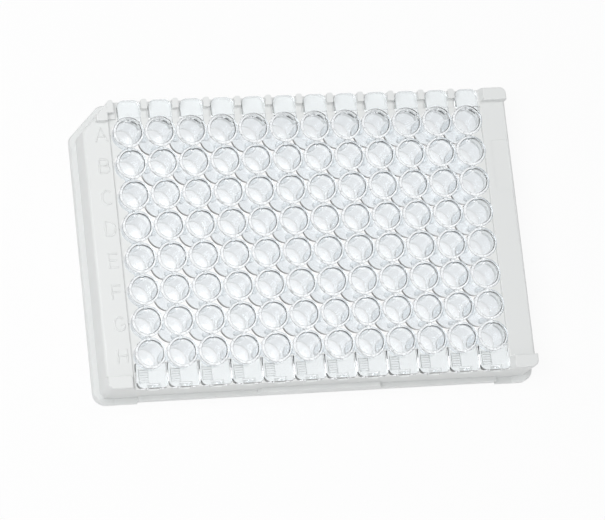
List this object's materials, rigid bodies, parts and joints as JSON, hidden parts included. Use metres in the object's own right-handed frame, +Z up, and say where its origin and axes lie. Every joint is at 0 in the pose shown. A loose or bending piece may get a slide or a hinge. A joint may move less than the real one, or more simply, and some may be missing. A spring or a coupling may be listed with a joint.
{
  "type": "strip well plate",
  "caption": "White moulded frame on the standard microplate footprint, holding clear strips of round flat-bottomed wells by tabs that rest on its front and back edges.",
  "frame": {"origin": "middle of the footprint, on the surface that the plate stands on", "axes": "+X along the columns, from column 1 to column 12; +Y along the rows, from row H to row A; +Z up, out of the wells' mouths"},
  "size_m": [0.1278, 0.0854, 0.0143],
  "materials": {
    "frame_white": "satin white moulded polystyrene",
    "strip_clear": "polished clear moulded polystyrene"
  },
  "bodies": {
    "root": {"frame": "frame_white", "strip_01": "strip_clear", "strip_02": "strip_clear", "strip_03": "strip_clear", "strip_04": "strip_clear", "strip_05": "strip_clear", "strip_06": "strip_clear", "strip_07": "strip_clear", "strip_08": "strip_clear", "strip_09": "strip_clear", "strip_10": "strip_clear", "strip_11": "strip_clear", "strip_12": "strip_clear"}
  },
  "joints": []
}
